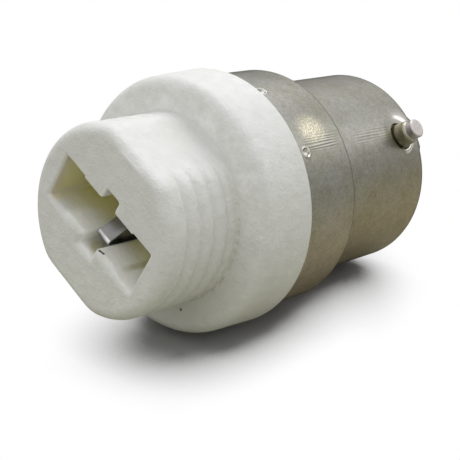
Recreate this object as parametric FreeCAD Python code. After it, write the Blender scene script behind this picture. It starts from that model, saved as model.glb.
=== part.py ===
import FreeCAD, Part
import os
from math import cos, radians, sin, tan

# Lamp socket adapter: a bayonet cap that carries a ceramic socket for a two-pin capsule lamp.
# It stands on its end contacts with the socket upwards. The origin is on the cap's axis in the
# plane of the contacts, +Z points to the socket and +X runs along the socket's slot.
# All lengths are in millimetres and all angles in degrees.

V = FreeCAD.Vector
UP = V(0, 0, 1)

# Bayonet cap: drawn shell
BARREL_R = 11.0
SKIRT_R = 12.8
SHELL_WALL = 0.4
CAP_H = 26.0            # contact plane to the open end of the skirt
SKIRT_H = 8.1
BARREL_END_Z = 1.9      # the contacts stand this far out of the shell
END_ROUND = 0.9
END_LIP = 1.8           # width of the end's turned-in lip
SHOULDER_ROUND = 0.3

# Bayonet pins, riveted through the barrel
PIN_Z = 5.2
PIN_TURN = 63.0         # from the slot's long axis to the first pin
PIN_TIP_R = 1.15
PIN_TIP_H = 0.95
PIN_COLLAR_R = 1.5      # at the barrel
PIN_COLLAR_FRONT_R = 1.34
PIN_COLLAR_H = 1.4
PIN_EDGE = 0.15
PIN_HEAD_R = 1.35
PIN_HEAD_H = 0.6

# Punch marks that lock the skirt to the ceramic
CRIMP_Z = 24.3
CRIMP_STEP = 37.0       # between the two marks of a pair; one mark is in line with a pin
CRIMP_PUNCH_R = 0.8
CRIMP_DEPTH = 0.5
CRIMP_WALL = 0.3
CRIMP_GROOVE_W = 2.4
CRIMP_GROOVE_D = 0.85

# Ceramic body
FLANGE_R = 13.6         # at the back; the mould's draft narrows it to the front
FLANGE_H = 6.75
FLANGE_DRAFT = 0.25
FLANGE_ROUND = 1.3
FLANGE_BACK_CHAMFER = 0.3
NOSE_R = 9.75
NOSE_H = 9.55
NOSE_FLAT_Y = 8.85      # half the distance across the two plain flats
FACE_ROUND = 1.2
NOSE_ROOT_ROUND = 0.3
THREAD_PITCH = 1.95
THREAD_TURNS = 4
THREAD_START = 1.25     # from the flange to the first groove's middle
THREAD_DEPTH = 0.4
THREAD_MOUTH = 1.0      # width of a groove at the crest
THREAD_ROOT = 0.35      # and at its bottom

# Slot in the face
SLOT_L = 13.9
SLOT_W = 4.8
SLOT_END_W = 5.2        # the two ends are a little wider than the middle
SLOT_JOG_X = 4.0
SLOT_DEPTH = 8.0
SLOT_RIM = 0.45
NOTCH_W = 2.1
NOTCH_L = 7.5
NOTCH_DEPTH = 11.4

# Contact chambers behind the slot
CONTACT_X = 4.5
WINDOW_L = 3.8
WINDOW_W = 2.6
WINDOW_WEB = 1.2
CHAMBER_L = 4.0
CHAMBER_W = 4.4

# Cover that closes the chambers, clamped on the skirt's shoulder
COVER_H = 2.4
COVER_PLUG_H = 1.1
WIRE_HOLE_R = 1.12

# Contact springs: bent strip
CLIP_STRIP = 0.4
CLIP_W = 3.4
CLIP_H = 8.0
CLIP_Y = 1.55           # centre line of a leg
CLIP_THROAT_Y = 0.35
CLIP_THROAT_DROP = 1.3  # from the leg's tip to the throat
CLIP_SHOULDER_DROP = 3.8
CLIP_MOUTH_Y = 0.95
CLIP_BEND = 0.45
BACKING_STRIP = 0.3
BACKING_W = 2.6
BACKING_TOP_DROP = 3.9
FERRULE_R = 0.95
FERRULE_H = 2.2

# Retaining spring across the notch
GRIP_STRIP = 0.3
GRIP_W = 1.9
GRIP_LEG_Y = 3.1
GRIP_FOLD_Y = 2.4
GRIP_FOLD_DROP = 1.9    # from the face to the fold
GRIP_NIP_Y = 1.3
GRIP_NIP_DROP = 3.6
GRIP_TAIL_Y = 2.2
GRIP_TAIL_DROP = 6.0
GRIP_BEND = 0.33

# Leads
WIRE_R = 0.5
SLEEVE_R = 0.95
WIRE_BEND = 4.0
BEND_TOP_Z = 16.5
BEND_LOW_Z = 11.0

# End insulator and end contacts
BOSS_FACE_Z = 0.9
BOSS_ROUND = 0.6
INSULATOR_RIM_H = 0.55
INSULATOR_TOP_Z = 6.4
END_CONTACT_PITCH = 10.0
END_CONTACT_R = 3.6
END_CONTACT_EDGE = 0.2
EYELET_R = 1.25
EYELET_BORE_R = 0.7
EYELET_FLARE_R = 1.9
EYELET_FLARE_H = 0.35
SOLDER_CUP_R = 1.5
SOLDER_CUP_H = 0.7

# Clearances
SEAT = 0.02             # between faces that rest on each other
FIT = 0.1               # round a piece that slides into another
PIN_FIT = 0.04
HEAD_GAP = 0.5          # between the insulator and the pins' riveted heads

# Derived places
SHOULDER_Z = CAP_H - SKIRT_H
BARREL_INNER_R = BARREL_R - SHELL_WALL
END_HOLE_R = BARREL_R - END_LIP
INSULATOR_BODY_R = BARREL_INNER_R - PIN_HEAD_H - HEAD_GAP
COVER_Z = SHOULDER_Z + SHELL_WALL + SEAT
SPIGOT_Z = COVER_Z + COVER_H + SEAT
SPIGOT_R = SKIRT_R - SHELL_WALL - FIT
FLANGE_BACK_Z = CAP_H + SEAT
FLANGE_FRONT_Z = FLANGE_BACK_Z + FLANGE_H
FACE_Z = FLANGE_FRONT_Z + NOSE_H
SLOT_FLOOR_Z = FACE_Z - SLOT_DEPTH
CHAMBER_TOP_Z = SLOT_FLOOR_Z - WINDOW_WEB
NOTCH_FLOOR_Z = FACE_Z - NOTCH_DEPTH
CLIP_TOP_Z = CHAMBER_TOP_Z - FIT
CLIP_BASE_Z = CLIP_TOP_Z - CLIP_H
BACKING_Y = CLIP_Y + CLIP_STRIP / 2 + SEAT + BACKING_STRIP / 2
BACKING_BASE_Z = CLIP_BASE_Z - CLIP_STRIP / 2 - SEAT - BACKING_STRIP / 2
FERRULE_TOP_Z = CLIP_BASE_Z - CLIP_STRIP / 2 - SEAT
INSULATOR_Z = BARREL_END_Z + SHELL_WALL + SEAT
END_TURN = PIN_TURN - 90
PIN_TURNS = {"front": PIN_TURN + 180, "back": PIN_TURN}
SIDES = {"left": -1, "right": 1}


def turned(shape, angle):
    """The shape, turned about the cap's axis."""
    copy = shape.copy()
    copy.rotate(V(0, 0, 0), UP, angle)
    return copy


def disc(radius, low, high, x=0.0, y=0.0):
    return Part.makeCylinder(radius, high - low, V(x, y, low))


def block(length, width, low, high, x=0.0):
    """A box centred on x, standing from low to high."""
    return Part.makeBox(length, width, high - low, V(x - length / 2, -width / 2, low))


def revolved(points):
    """A solid of revolution about Z. A point is (r, z), or (r, z, round) for a rounded corner."""
    return Part.Face(rounded_outline([V(p[0], 0, p[1]) for p in points],
                                     [p[2] if len(p) > 2 else 0 for p in points])
                     ).revolve(V(0, 0, 0), UP, 360)


def rounded_outline(corners, rounds):
    """A closed wire through the corners, with an arc of the given radius at each rounded one."""
    edges = []
    count = len(corners)
    starts = []
    ends = []
    for i in range(count):
        before = (corners[i - 1] - corners[i]).normalize()
        after = (corners[(i + 1) % count] - corners[i]).normalize()
        arc, first, last = corner_arc(corners[i], before, after, rounds[i])
        starts.append(first)
        ends.append(last)
        if arc:
            edges.append((i, arc))
    arcs = dict(edges)
    wire = []
    for i in range(count):
        if i in arcs:
            wire.append(arcs[i])
        following = starts[(i + 1) % count]
        if (following - ends[i]).Length > 1e-6:
            wire.append(Part.makeLine(ends[i], following))
    return Part.Wire(wire)


def corner_arc(corner, before, after, radius):
    """The tangent arc at a corner, with its two ends; before and after point away from it."""
    if not radius:
        return None, corner, corner
    half = before.getAngle(after) / 2
    reach = radius / tan(half)
    first = corner + before * reach
    last = corner + after * reach
    middle_way = (before + after).normalize()
    middle = corner + middle_way * (radius / sin(half) - radius)
    return Part.Arc(first, middle, last).toShape(), first, last


def path(points, radius):
    """An open wire through the points, with a tangent arc at each inner one."""
    edges = []
    here = points[0]
    for i in range(1, len(points) - 1):
        before = (points[i - 1] - points[i]).normalize()
        after = (points[i + 1] - points[i]).normalize()
        arc, first, last = corner_arc(points[i], before, after, radius)
        edges.append(Part.makeLine(here, first))
        edges.append(arc)
        here = last
    edges.append(Part.makeLine(here, points[-1]))
    return Part.Wire(edges)


def strip(points, bend, thickness, width):
    """Flat strip bent along points (y, z); its width lies along X."""
    line = path([V(0, y, z) for y, z in points], bend)
    start = V(0, *points[0])
    along = (V(0, *points[1]) - start).normalize()
    side = V(0, -along.z, along.y) * (thickness / 2)
    across = V(width / 2, 0, 0)
    section = Part.makePolygon([start + side + across, start + side - across,
                                start - side - across, start - side + across,
                                start + side + across])
    return line.makePipeShell([section], True, False)


def rod(points, bend, radius):
    """Round rod along points in space; the first run is vertical."""
    section = Part.Wire(Part.makeCircle(radius, points[0], UP))
    return path(points, bend).makePipeShell([section], True, False)


def slot_outline(grow, z):
    """The cross-shaped mouth as a closed wire, its walls moved out by grow."""
    end = SLOT_L / 2 + grow
    end_wide = SLOT_END_W / 2 + grow
    jog = SLOT_JOG_X - grow
    wide = SLOT_W / 2 + grow
    notch = NOTCH_W / 2 + grow
    notch_end = NOTCH_L / 2 + grow
    quarter = [(end, end_wide), (jog, end_wide), (jog, wide), (notch, wide), (notch, notch_end)]
    corners = quarter + [(-x, y) for x, y in reversed(quarter)]
    corners += [(-x, -y) for x, y in corners]
    return Part.makePolygon([V(x, y, z) for x, y in corners + corners[:1]])


def slot():
    """Slot, notch, pin windows and contact chambers, as the solid that is cut away."""
    mouth = Part.makeLoft([slot_outline(SLOT_RIM, FACE_Z),
                           slot_outline(SLOT_RIM * 0.3, FACE_Z - SLOT_RIM * 0.3),
                           slot_outline(0, FACE_Z - SLOT_RIM)], True, True)
    well = Part.Face(slot_outline(0, SLOT_FLOOR_Z)).extrude(UP * (SLOT_DEPTH - SLOT_RIM))
    notch = block(NOTCH_W, NOTCH_L, NOTCH_FLOOR_Z, SLOT_FLOOR_Z)
    space = mouth.fuse([well, notch])
    for side in SIDES.values():
        window = block(WINDOW_L, WINDOW_W, CHAMBER_TOP_Z, SLOT_FLOOR_Z, side * CONTACT_X)
        chamber = block(CHAMBER_L, CHAMBER_W, SPIGOT_Z, CHAMBER_TOP_Z, side * CONTACT_X)
        space = space.fuse([window, chamber])
    return space.removeSplitter()


def thread_profile():
    """The grooves of the moulded thread, from the flange to the face."""
    points = []
    for turn in range(THREAD_TURNS):
        middle = FLANGE_FRONT_Z + THREAD_START + turn * THREAD_PITCH
        points += [(NOSE_R, middle - THREAD_MOUTH / 2), (NOSE_R - THREAD_DEPTH, middle - THREAD_ROOT / 2),
                   (NOSE_R - THREAD_DEPTH, middle + THREAD_ROOT / 2), (NOSE_R, middle + THREAD_MOUTH / 2)]
    return points


def ceramic_body():
    """Nose with two plain flats, flange, and the spigot that the skirt grips."""
    groove_r = SPIGOT_R - CRIMP_GROOVE_D
    groove_low = CRIMP_Z - CRIMP_GROOVE_W / 2
    groove_high = CRIMP_Z + CRIMP_GROOVE_W / 2
    body = revolved([(0, SPIGOT_Z), (SPIGOT_R, SPIGOT_Z), (SPIGOT_R, groove_low),
                     (groove_r, groove_low), (groove_r, groove_high), (SPIGOT_R, groove_high),
                     (SPIGOT_R, FLANGE_BACK_Z), (FLANGE_R - FLANGE_BACK_CHAMFER, FLANGE_BACK_Z),
                     (FLANGE_R, FLANGE_BACK_Z + FLANGE_BACK_CHAMFER),
                     (FLANGE_R - FLANGE_DRAFT, FLANGE_FRONT_Z, FLANGE_ROUND),
                     (NOSE_R, FLANGE_FRONT_Z, NOSE_ROOT_ROUND)] + thread_profile()
                    + [(NOSE_R, FACE_Z, FACE_ROUND), (0, FACE_Z)])
    reach = FLANGE_R * 2
    for side in (-1, 1):
        beyond = Part.makeBox(reach, FLANGE_R, NOSE_H + 1, V(-reach / 2, 0, FLANGE_FRONT_Z))
        beyond.translate(V(0, NOSE_FLAT_Y if side > 0 else -NOSE_FLAT_Y - FLANGE_R, 0))
        body = body.cut(beyond)
    return body.cut(slot())


def rear_cover():
    """Ceramic cover between the spigot and the shoulder, with a plug in each chamber."""
    cover = disc(SPIGOT_R, COVER_Z, COVER_Z + COVER_H)
    for side in SIDES.values():
        plug = block(CHAMBER_L - 2 * FIT, CHAMBER_W - 2 * FIT, COVER_Z + COVER_H,
                     COVER_Z + COVER_H + COVER_PLUG_H, side * CONTACT_X)
        hole = disc(WIRE_HOLE_R, COVER_Z - 1, COVER_Z + COVER_H + COVER_PLUG_H + 1, side * CONTACT_X)
        cover = cover.fuse(plug).cut(hole)
    return cover


def contact_clip(side):
    """Spring contact: two legs that lean in to a throat, and flare to guide a lamp pin."""
    throat = CLIP_TOP_Z - CLIP_THROAT_DROP
    shoulder = CLIP_TOP_Z - CLIP_SHOULDER_DROP
    leg = [(CLIP_Y, CLIP_BASE_Z), (CLIP_Y, shoulder), (CLIP_THROAT_Y, throat), (CLIP_MOUTH_Y, CLIP_TOP_Z)]
    clip = strip([(-y, z) for y, z in reversed(leg)] + leg, CLIP_BEND, CLIP_STRIP, CLIP_W)
    clip.translate(V(side * CONTACT_X, 0, 0))
    return clip


def backing_spring(side):
    """Steel clip outside the contact's legs, with a hole that the ferrule passes."""
    top = CLIP_TOP_Z - BACKING_TOP_DROP
    spring = strip([(-BACKING_Y, top), (-BACKING_Y, BACKING_BASE_Z), (BACKING_Y, BACKING_BASE_Z),
                    (BACKING_Y, top)], CLIP_BEND + CLIP_STRIP / 2 + BACKING_STRIP / 2,
                   BACKING_STRIP, BACKING_W)
    hole = disc(FERRULE_R + FIT, BACKING_BASE_Z - 1, BACKING_BASE_Z + 1)
    spring = spring.cut(hole)
    spring.translate(V(side * CONTACT_X, 0, 0))
    return spring


def crimp_ferrule(side):
    """Barrel under the contact that is crimped on the lead."""
    x = side * CONTACT_X
    low = FERRULE_TOP_Z - FERRULE_H
    return disc(FERRULE_R, low, FERRULE_TOP_Z, x).cut(
        disc(WIRE_R + SEAT, low, FERRULE_TOP_Z - SHELL_WALL, x))


def retaining_spring():
    """Strip across the notch with two hairpin legs that nip the lamp's foot."""
    base = NOTCH_FLOOR_Z + SEAT + GRIP_STRIP / 2
    leg = [(GRIP_LEG_Y, base), (GRIP_LEG_Y, FACE_Z - GRIP_FOLD_DROP),
           (GRIP_FOLD_Y, FACE_Z - GRIP_FOLD_DROP), (GRIP_NIP_Y, FACE_Z - GRIP_NIP_DROP),
           (GRIP_TAIL_Y, FACE_Z - GRIP_TAIL_DROP)]
    return strip([(-y, z) for y, z in reversed(leg)] + leg, GRIP_BEND, GRIP_STRIP, GRIP_W)


def end_place(side):
    """Where an end contact stands; the two contacts are square to the pins."""
    reach = side * END_CONTACT_PITCH / 2
    return reach * cos(radians(END_TURN)), reach * sin(radians(END_TURN))


def lead_points(side, high, low):
    """The lead's route from a contact's ferrule down to its end contact."""
    x, y = end_place(side)
    return [V(side * CONTACT_X, 0, high), V(side * CONTACT_X, 0, BEND_TOP_Z), V(x, y, BEND_LOW_Z), V(x, y, low)]


def lead_wire(side):
    top = FERRULE_TOP_Z - SHELL_WALL - SEAT
    return rod(lead_points(side, top, SOLDER_CUP_H + SEAT), WIRE_BEND, WIRE_R)


def wire_sleeve(side):
    """Insulating sleeve on the lead, from the cover's hole to the end insulator."""
    high = COVER_Z + COVER_H + COVER_PLUG_H - FIT
    low = INSULATOR_TOP_Z + SEAT + EYELET_FLARE_H + SEAT
    points = lead_points(side, high, low)
    return rod(points, WIRE_BEND, SLEEVE_R).cut(rod(points, WIRE_BEND, WIRE_R + SEAT))


def cap_shell():
    """Drawn shell: skirt, shoulder and barrel, its end turned in round the insulator."""
    shell = revolved([(END_HOLE_R, BARREL_END_Z), (BARREL_R, BARREL_END_Z, END_ROUND),
                      (BARREL_R, SHOULDER_Z, SHOULDER_ROUND), (SKIRT_R, SHOULDER_Z, SHOULDER_ROUND),
                      (SKIRT_R, CAP_H), (SKIRT_R - SHELL_WALL, CAP_H),
                      (SKIRT_R - SHELL_WALL, SHOULDER_Z + SHELL_WALL),
                      (BARREL_INNER_R, SHOULDER_Z + SHELL_WALL),
                      (BARREL_INNER_R, BARREL_END_Z + SHELL_WALL, END_ROUND - SHELL_WALL),
                      (END_HOLE_R, BARREL_END_Z + SHELL_WALL)])
    for turn in PIN_TURNS.values():
        hole = Part.makeCylinder(PIN_TIP_R + PIN_FIT, BARREL_R, V(BARREL_R / 2, 0, PIN_Z), V(1, 0, 0))
        shell = shell.cut(turned(hole, turn))
        for step in (0, CRIMP_STEP):
            shell = punched(shell, turn + step)
    return shell


def punched(shell, turn):
    """The shell with one punch mark, a cup that reaches into the ceramic's groove."""
    centre = V(SKIRT_R - CRIMP_DEPTH + CRIMP_PUNCH_R, 0, CRIMP_Z)
    cup = Part.makeSphere(CRIMP_PUNCH_R + CRIMP_WALL, centre)
    inside = disc(SKIRT_R - SHELL_WALL / 2, SHOULDER_Z, CAP_H)
    cup = cup.common(inside)
    punch = Part.makeSphere(CRIMP_PUNCH_R, centre)
    return shell.fuse(turned(cup, turn)).cut(turned(punch, turn))


def bayonet_pin(turn):
    """Stepped pin: its collar sits on the barrel and its head is riveted over inside."""
    centre = V(0, 0, PIN_Z)
    ahead = V(1, 0, 0)
    tip_end = BARREL_R + PIN_COLLAR_H + PIN_TIP_H

    def along(radius, start, end):
        return Part.makeCylinder(radius, end - start, centre + ahead * start, ahead)

    low = PIN_Z - 2 * PIN_COLLAR_R
    high = PIN_Z + 2 * PIN_COLLAR_R
    head = along(PIN_HEAD_R, BARREL_INNER_R - PIN_HEAD_H, BARREL_R)
    head = head.common(disc(BARREL_INNER_R - SEAT, low, high))
    collar = along(PIN_COLLAR_R, BARREL_INNER_R, BARREL_R)
    collar = collar.fuse(Part.makeCone(PIN_COLLAR_R, PIN_COLLAR_FRONT_R, PIN_COLLAR_H, centre + ahead * BARREL_R,
                                       ahead))
    collar = rim_rounded(collar, BARREL_R + PIN_COLLAR_H, PIN_EDGE)
    collar = collar.cut(disc(BARREL_R + SEAT, low, high))
    tip = rim_rounded(along(PIN_TIP_R, BARREL_INNER_R - PIN_HEAD_H / 2, tip_end), tip_end, PIN_EDGE)
    return turned(head.fuse([collar, tip]), turn)


def rim_rounded(shape, x, radius):
    """The shape with its circular edge at this x rounded."""
    rim = [edge for edge in shape.Edges
           if abs(edge.BoundBox.XMin - x) < 1e-4 and abs(edge.BoundBox.XMax - x) < 1e-4]
    return shape.makeFillet(radius, rim)


def end_insulator():
    """Moulded insulator held by the shell's turned-in end, with an eyelet hole per contact."""
    rim_top = INSULATOR_Z + INSULATOR_RIM_H
    boss_r = END_HOLE_R - FIT
    body = revolved([(0, BOSS_FACE_Z), (boss_r, BOSS_FACE_Z, BOSS_ROUND), (boss_r, INSULATOR_Z),
                     (BARREL_R - END_ROUND, INSULATOR_Z),
                     (BARREL_INNER_R - FIT, rim_top - SEAT), (BARREL_INNER_R - FIT, rim_top),
                     (INSULATOR_BODY_R, rim_top), (INSULATOR_BODY_R, INSULATOR_TOP_Z), (0, INSULATOR_TOP_Z)])
    for side in SIDES.values():
        x, y = end_place(side)
        body = body.cut(disc(EYELET_R + PIN_FIT, 0, INSULATOR_TOP_Z + 1, x, y))
    return body


def end_contact(side):
    """Contact plate with an eyelet through the insulator, flared over inside."""
    plate_top = BOSS_FACE_Z - SEAT
    flare = INSULATOR_TOP_Z + SEAT
    flare_top = flare + EYELET_FLARE_H
    contact = revolved([(SOLDER_CUP_R, 0), (END_CONTACT_R, 0, END_CONTACT_EDGE),
                        (END_CONTACT_R, plate_top), (EYELET_R, plate_top), (EYELET_R, flare),
                        (EYELET_FLARE_R, flare), (EYELET_FLARE_R, flare_top),
                        (EYELET_BORE_R, flare_top), (EYELET_BORE_R, SOLDER_CUP_H)])
    contact.translate(V(*end_place(side), 0))
    return contact


def solder_tip(side):
    """Solder that fills the contact's cup, just below the plate's face."""
    x, y = end_place(side)
    low = FIT
    lean = (SOLDER_CUP_R - EYELET_BORE_R) / SOLDER_CUP_H
    return Part.makeCone(SOLDER_CUP_R - SEAT * 2 - lean * low, EYELET_BORE_R - SEAT * 2,
                         SOLDER_CUP_H - low, V(x, y, low))


def build():
    """Every piece of the adapter by its name."""
    pieces = {
        "ceramic_body": ceramic_body(),
        "rear_cover": rear_cover(),
        "retaining_spring": retaining_spring(),
        "cap_shell": cap_shell(),
        "end_insulator": end_insulator(),
    }
    for name, turn in PIN_TURNS.items():
        pieces["bayonet_pin_" + name] = bayonet_pin(turn)
    paired = (contact_clip, backing_spring, crimp_ferrule, lead_wire, wire_sleeve, end_contact, solder_tip)
    for make in paired:
        for name, side in SIDES.items():
            pieces[make.__name__ + "_" + name] = make(side)
    return pieces


os.makedirs("parts", exist_ok=True)
for name, shape in build().items():
    solids = shape.Solids
    print(f"{name}: {len(solids)} solid, valid {shape.isValid()}, {shape.Volume:.2f} mm3")
    shape = solids[0] if len(solids) == 1 else Part.makeCompound(solids)
    shape.exportStep(f"parts/{name}.step")
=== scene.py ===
"""Lamp socket adapter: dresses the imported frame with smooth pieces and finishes.

Lengths in the code are millimetres until a piece is finished, and metres in Blender.
The axis of the cap is Z, the contacts stand on Z = 0 and the slot runs along X.
"""
from math import atan2, cos, degrees, hypot, pi, radians, sin, tan

import bmesh
import bpy
from bpy.props import FloatProperty, FloatVectorProperty, PointerProperty
from mathutils import Matrix, Vector


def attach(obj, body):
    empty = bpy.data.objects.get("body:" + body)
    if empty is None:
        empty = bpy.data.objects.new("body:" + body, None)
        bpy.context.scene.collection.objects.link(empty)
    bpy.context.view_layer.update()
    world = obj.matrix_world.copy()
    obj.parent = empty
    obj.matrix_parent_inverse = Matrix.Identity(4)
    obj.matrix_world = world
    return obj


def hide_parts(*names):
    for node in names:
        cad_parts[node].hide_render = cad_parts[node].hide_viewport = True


bl_info = {
    "name": "Lamp Socket Adapter",
    "version": (1, 0, 0),
    "blender": (4, 5, 0),
    "location": "View3D > Sidebar > Adapter",
    "description": "Builds a bayonet cap with a slotted ceramic lamp socket",
    "category": "Add Mesh",
}

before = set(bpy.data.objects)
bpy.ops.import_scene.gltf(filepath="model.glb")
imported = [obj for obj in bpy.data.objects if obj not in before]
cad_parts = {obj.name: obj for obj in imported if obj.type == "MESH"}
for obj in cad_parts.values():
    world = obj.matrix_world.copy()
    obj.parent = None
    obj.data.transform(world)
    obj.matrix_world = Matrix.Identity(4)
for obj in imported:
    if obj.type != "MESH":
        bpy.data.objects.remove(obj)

MM = 0.001


def length(name, default, description):
    """A length property, given in millimetres."""
    return FloatProperty(name=name, description=description, default=default * MM, min=0.0,
                         precision=5, unit="LENGTH", subtype="DISTANCE")


def colour(name, default, description):
    """A colour property."""
    return FloatVectorProperty(name=name, description=description, default=default, size=4,
                               min=0.0, max=1.0, subtype="COLOR")


class SocketSizes(bpy.types.PropertyGroup):
    """Sizes of the ceramic and its slot"""
    flange_r: length("Flange Radius", 13.6, "Radius of the flange at its back")
    flange_back: length("Flange Back", 26.02, "Height of the flange's back face")
    flange_front: length("Flange Front", 32.77, "Height of the flange's front face")
    flange_draft: length("Flange Draft", 0.25, "How much narrower the flange is at its front")
    flange_round: length("Flange Rounding", 1.3, "Rounding of the flange's front edge")
    nose_r: length("Nose Radius", 9.75, "Radius over the crests of the nose")
    face_z: length("Face Height", 42.32, "Height of the slotted face")
    face_round: length("Face Rounding", 1.2, "Rounding between the nose and its face")
    flat_y: length("Flat Distance", 8.85, "Distance of each plain flat from the axis")
    groove_pitch: length("Groove Pitch", 1.88, "Distance between two grooves")
    groove_start: length("First Groove", 1.25, "From the flange to the first groove's middle")
    groove_depth: length("Groove Depth", 0.4, "Depth of a groove")
    groove_mouth: length("Groove Mouth", 1.04, "Width of a groove at the crest")
    crest_round: length("Crest Rounding", 1.0, "Rounding of the ridges between grooves")
    slot_half: length("Slot Half Length", 6.95, "Half the slot's length")
    slot_wide: length("Slot Half Width", 2.4, "Half the slot's width in the middle")
    slot_end_wide: length("Slot End Half Width", 2.6, "Half the slot's width at its ends")
    slot_jog: length("Slot Step", 4.0, "Where the wider ends begin")
    slot_floor: length("Slot Floor", 34.32, "Height of the slot's floor")
    jog_slant: length("Slot Step Slant", 0.45, "How far the step is drawn out on the +Y side")
    notch_half: length("Notch Half Width", 1.05, "Half the width of the cross notch")
    notch_end: length("Notch Half Length", 3.75, "Half the length of the cross notch")
    notch_floor: length("Notch Floor", 30.92, "Height of the notch's floor")
    rim: length("Slot Rim Rounding", 0.36, "Rounding of the slot's rim")
    window_x: length("Window Place", 4.5, "Distance of a contact window from the axis")
    window_l: length("Window Length", 3.8, "Length of a contact window")
    window_w: length("Window Width", 2.6, "Width of a contact window")
    chamber_top: length("Chamber Top", 33.12, "Height of the contact chamber's roof")
    chamber_l: length("Chamber Length", 4.0, "Length of a contact chamber")
    chamber_w: length("Chamber Width", 4.4, "Width of a contact chamber")
    spigot_z: length("Spigot End", 20.74, "Height of the lower end of the ceramic")
    spigot_r: length("Spigot Radius", 12.3, "Radius of the ceramic inside the skirt")


class CapSizes(bpy.types.PropertyGroup):
    """Sizes of the metal cap, its pins and its end"""
    barrel_r: length("Barrel Radius", 11.0, "Outer radius of the barrel")
    skirt_r: length("Skirt Radius", 12.8, "Outer radius of the skirt")
    wall: length("Wall", 0.4, "Thickness of the metal")
    top_z: length("Skirt End", 26.0, "Height of the skirt's open end")
    shoulder_z: length("Shoulder", 17.9, "Height of the step between barrel and skirt")
    end_z: length("Barrel End", 1.9, "Height of the barrel's turned-in end")
    end_hole_r: length("End Opening", 9.2, "Radius of the opening in the barrel's end")
    end_round: length("End Rounding", 0.9, "Rounding of the barrel's end")
    shoulder_round: length("Shoulder Rounding", 0.3, "Rounding of the shoulder's corners")
    pin_z: length("Pin Height", 5.2, "Height of the bayonet pins")
    pin_r: length("Pin Radius", 1.06, "Radius of a pin's tip")
    pin_end: length("Pin Reach", 13.35, "How far a pin's end is from the axis")
    collar_r: length("Collar Radius", 1.38, "Radius of a pin's collar at the barrel")
    collar_front_r: length("Collar Front Radius", 1.24, "Radius of a pin's collar at its front")
    collar_gap: length("Collar Gap", 0.14, "Width of the dark gap round a pin's collar")
    collar_end: length("Collar Reach", 12.4, "How far a pin's collar stands from the axis")
    mark_z: length("Punch Mark Height", 24.45, "Height of the punch marks")
    mark_r: length("Punch Mark Radius", 0.42, "Radius of a punch mark")
    mark_depth: length("Punch Mark Depth", 0.36, "Depth of a punch mark")
    plate_r: length("Contact Radius", 3.6, "Radius of an end contact")
    plate_pitch: length("Contact Pitch", 10.0, "Distance between the end contacts")
    boss_z: length("Insulator Face", 0.9, "Height of the insulator's face")


class FinishColours(bpy.types.PropertyGroup):
    """Colours of the finishes and of the table"""
    ceramic: colour("Ceramic", (0.805, 0.808, 0.805, 1), "Fired ceramic")
    # Painted shade: the slot's olive stands for shade and light bounced between its walls.
    slot_shade: colour("Painted Slot Shade", (0.92, 0.875, 0.49, 1), "Ceramic deep in the slot")
    metal: colour("Plated Metal", (0.475, 0.467, 0.447, 1), "Dull nickel plate")
    # Painted shade: the plate's low side mirrors the shadowed table.
    metal_shaded_side: colour("Painted Shade on Metal", (0.62, 0.54, 0.42, 1), "Painted browner shade on the plate's low side")
    spring: colour("Spring Strip", (0.56, 0.55, 0.53, 1), "Bright contact strip")
    # Painted shade: the strip is darkened to stand in for the dull surroundings it mirrors.
    grip: colour("Retaining Spring", (0.25, 0.25, 0.25, 1), "Retaining spring's strip, darkened as painted shade")
    insulator: colour("Insulator", (0.035, 0.035, 0.038, 1), "Black moulded insulator")
    brass: colour("Contact Brass", (0.66, 0.52, 0.27, 1), "Bare brass of the end contacts")
    solder: colour("Solder", (0.52, 0.52, 0.53, 1), "Dull solder")
    sleeve: colour("Lead Sleeve", (0.78, 0.76, 0.70, 1), "Woven sleeve on the leads")
    table: colour("Table", (0.37, 0.365, 0.29, 1), "The table as the part is lit by it")
    shadow: colour("Shadow", (0.335, 0.335, 0.34, 1), "The table in the deepest shadow")


# Small dark marks in the glaze: place, inner and outer radius.
CHIPS = (((-1.41, 2.43, 41.9), 0.08, 0.2), ((-1.64, 2.44, 41.84), 0.07, 0.18),
         ((-1.88, 2.43, 41.77), 0.08, 0.2), ((-7.5, 7.6, 32.77), 0.05, 0.26))
# In degrees from the slot's +X end, anticlockwise seen from the slotted face.
PIN_TURN = 63.0
MARK_STEP = 37.0
PIN_TURNS = {"front": PIN_TURN + 180, "back": PIN_TURN}
MARK_TURNS = (PIN_TURN, PIN_TURN + MARK_STEP, PIN_TURN + 180, PIN_TURN + 180 + MARK_STEP)
PLATE_TURN = PIN_TURN - 90


class Millimetres:
    """The sizes of a property group, read in millimetres."""

    def __init__(self, group):
        self.group = group

    def __getattr__(self, name):
        return getattr(self.group, name) / MM


def socket_sizes():
    """The ceramic's sizes in millimetres."""
    return Millimetres(bpy.context.scene.adapter_socket)


def cap_sizes():
    """The metal cap's sizes in millimetres."""
    return Millimetres(bpy.context.scene.adapter_cap)


def colours():
    """The colours of the finishes and of the stage."""
    return bpy.context.scene.adapter_colours


# Mesh helpers

def wire(bm, points, closed=False):
    """A chain of edges in the XZ plane. A point is (r, z) or (r, z, round)."""
    places = [Vector((p[0], 0, p[1])) for p in points]
    verts = [bm.verts.new(place) for place in places]
    pairs = list(zip(verts, verts[1:])) + ([(verts[-1], verts[0])] if closed else [])
    for a, b in pairs:
        bm.edges.new((a, b))
    for i, point in enumerate(points):
        if len(point) > 2 and point[2]:
            before = places[i - 1] - places[i]
            after = places[(i + 1) % len(places)] - places[i]
            round_corner(bm, verts[i], point[2], before.angle(after))


def round_corner(bm, vert, radius, angle, segments=8):
    """Rounds one corner of a flat chain or face."""
    bmesh.ops.bevel(bm, geom=[vert], offset=radius / tan(angle / 2), offset_type="OFFSET",
                    affect="VERTICES", segments=segments, profile=0.5, material=-1)


def cut_rows(bm, low, high, step, min_r):
    """Divides a profile's long upright runs outside min_r, between two heights, into even rows."""
    for edge in list(bm.edges):
        a, b = sorted((v.co for v in edge.verts), key=lambda c: c.z)
        if a.x < min_r or b.z - a.z < step * 1.5 or a.z >= high or b.z <= low:
            continue
        bmesh.ops.subdivide_edges(bm, edges=[edge], cuts=int((b.z - a.z) / step))


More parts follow.
